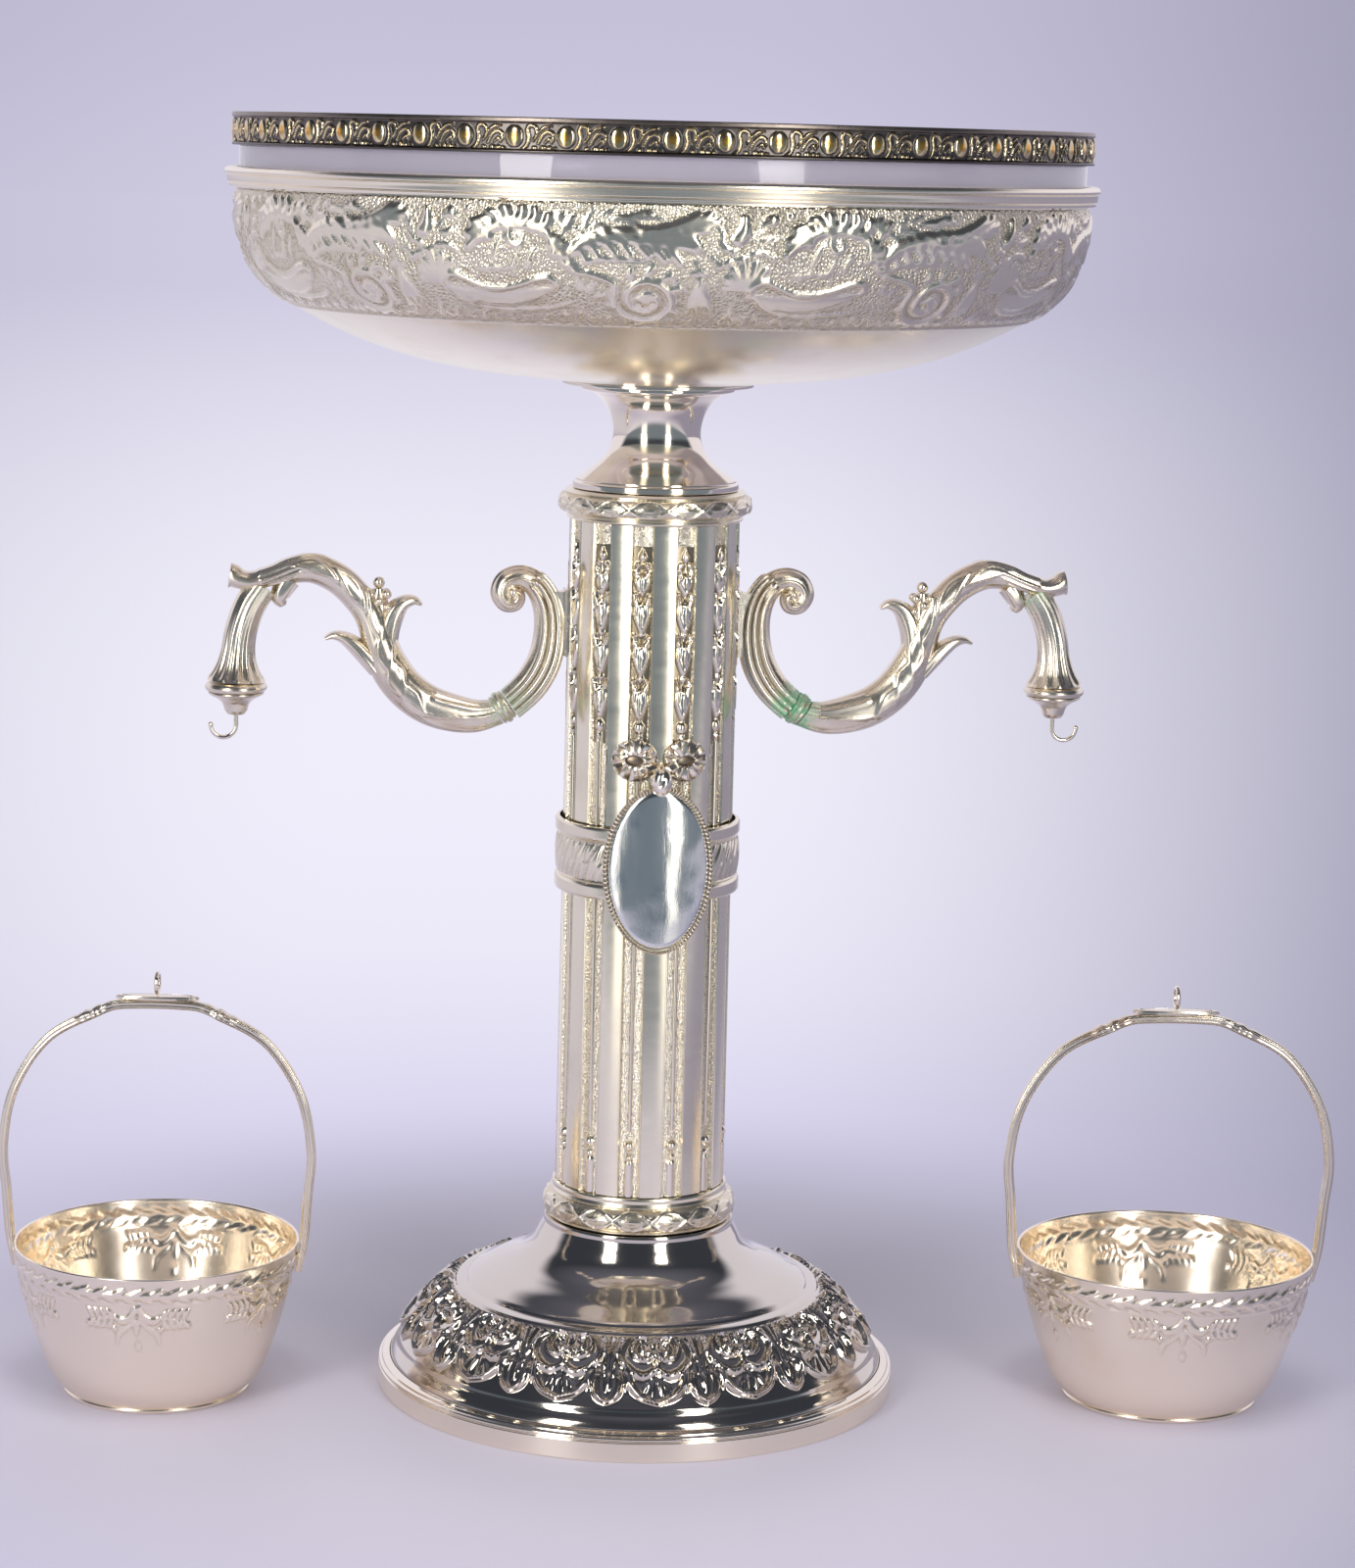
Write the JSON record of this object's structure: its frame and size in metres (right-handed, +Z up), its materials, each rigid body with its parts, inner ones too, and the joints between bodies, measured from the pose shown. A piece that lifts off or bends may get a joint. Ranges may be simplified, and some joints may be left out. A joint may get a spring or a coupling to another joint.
{
  "type": "fruit bowl",
  "caption": "Silver table centrepiece: a lined bowl on a fluted column, with scrolled arms and hooks for small handled baskets.",
  "frame": {"origin": "centre of the foot's flat underside, on the column's axis", "axes": "+Z up, the arms reach out along +X and -X, and the medallion faces -Y"},
  "size_m": [0.5687, 0.36, 0.538],
  "materials": {
    "silver": "polished silver plate",
    "cast_silver": "cast and polished silver plate, tarnished in the hollows",
    "chased_silver": "chased silver plate, soft sheen",
    "gilt_gallery": "die-struck gilt metal with a blackened ground",
    "glass": "clear polished glass",
    "brass_fittings": "plain turned brass",
    "steel": "drawn steel"
  },
  "bodies": {
    "stand": {"base_plate": "brass_fittings", "base_rim_band": "silver", "base_dome": "silver", "base_washer": "brass_fittings", "base_nut": "brass_fittings", "tie_rod": "steel", "lower_collar": "chased_silver", "column": "silver", "upper_collar": "chased_silver", "neck": "silver", "bowl_seat_disc": "silver", "bowl": "chased_silver", "bowl_rim": "silver", "bowl_washer": "brass_fittings", "bowl_nut": "brass_fittings", "belt": "chased_silver", "medallion": "silver", "medallion_border": "silver", "bow": "cast_silver", "medallion_stud": "brass_fittings", "medallion_nut": "brass_fittings", "arm_left_lug": "cast_silver", "arm_left_scroll": "cast_silver", "arm_left_collar": "cast_silver", "arm_left_limb": "cast_silver", "arm_left_drop_tube": "cast_silver", "arm_left_cup": "cast_silver", "arm_left_screw_upper": "brass_fittings", "arm_left_screw_lower": "brass_fittings", "arm_right_lug": "cast_silver", "arm_right_scroll": "cast_silver", "arm_right_collar": "cast_silver", "arm_right_limb": "cast_silver", "arm_right_drop_tube": "cast_silver", "arm_right_cup": "cast_silver", "arm_right_screw_upper": "brass_fittings", "arm_right_screw_lower": "brass_fittings"},
    "liner": {"liner": "glass", "liner_rim": "gilt_gallery"},
    "hook_left": {"hook_left": "silver"},
    "hook_right": {"hook_right": "silver"},
    "basket_left": {"basket_left_bowl": "silver", "basket_left_handle": "cast_silver", "basket_left_handle_plate": "cast_silver", "basket_left_ring": "silver"},
    "basket_right": {"basket_right_bowl": "silver", "basket_right_handle": "cast_silver", "basket_right_handle_plate": "cast_silver", "basket_right_ring": "silver"}
  },
  "joints": [
    {"name": "liner_lift", "type": "slide", "parent": "stand", "child": "liner", "axis": [0, 0, 1], "range_m": [0, 0.2]},
    {"name": "basket_left_lift", "type": "slide", "parent": "stand", "child": "basket_left", "axis": [-0.6429, 0, 0.7659], "range_m": [0, 0.2]},
    {"name": "basket_right_lift", "type": "slide", "parent": "stand", "child": "basket_right", "axis": [0.6429, 0, 0.7659], "range_m": [0, 0.2]},
    {"name": "hook_left_swivel", "type": "hinge", "parent": "stand", "child": "hook_left", "pos_m": [-0.174, 0, 0.286], "axis": [0, 0, 1], "continuous": true},
    {"name": "hook_right_swivel", "type": "hinge", "parent": "stand", "child": "hook_right", "pos_m": [0.174, 0, 0.286], "axis": [0, 0, 1], "continuous": true}
  ]
}
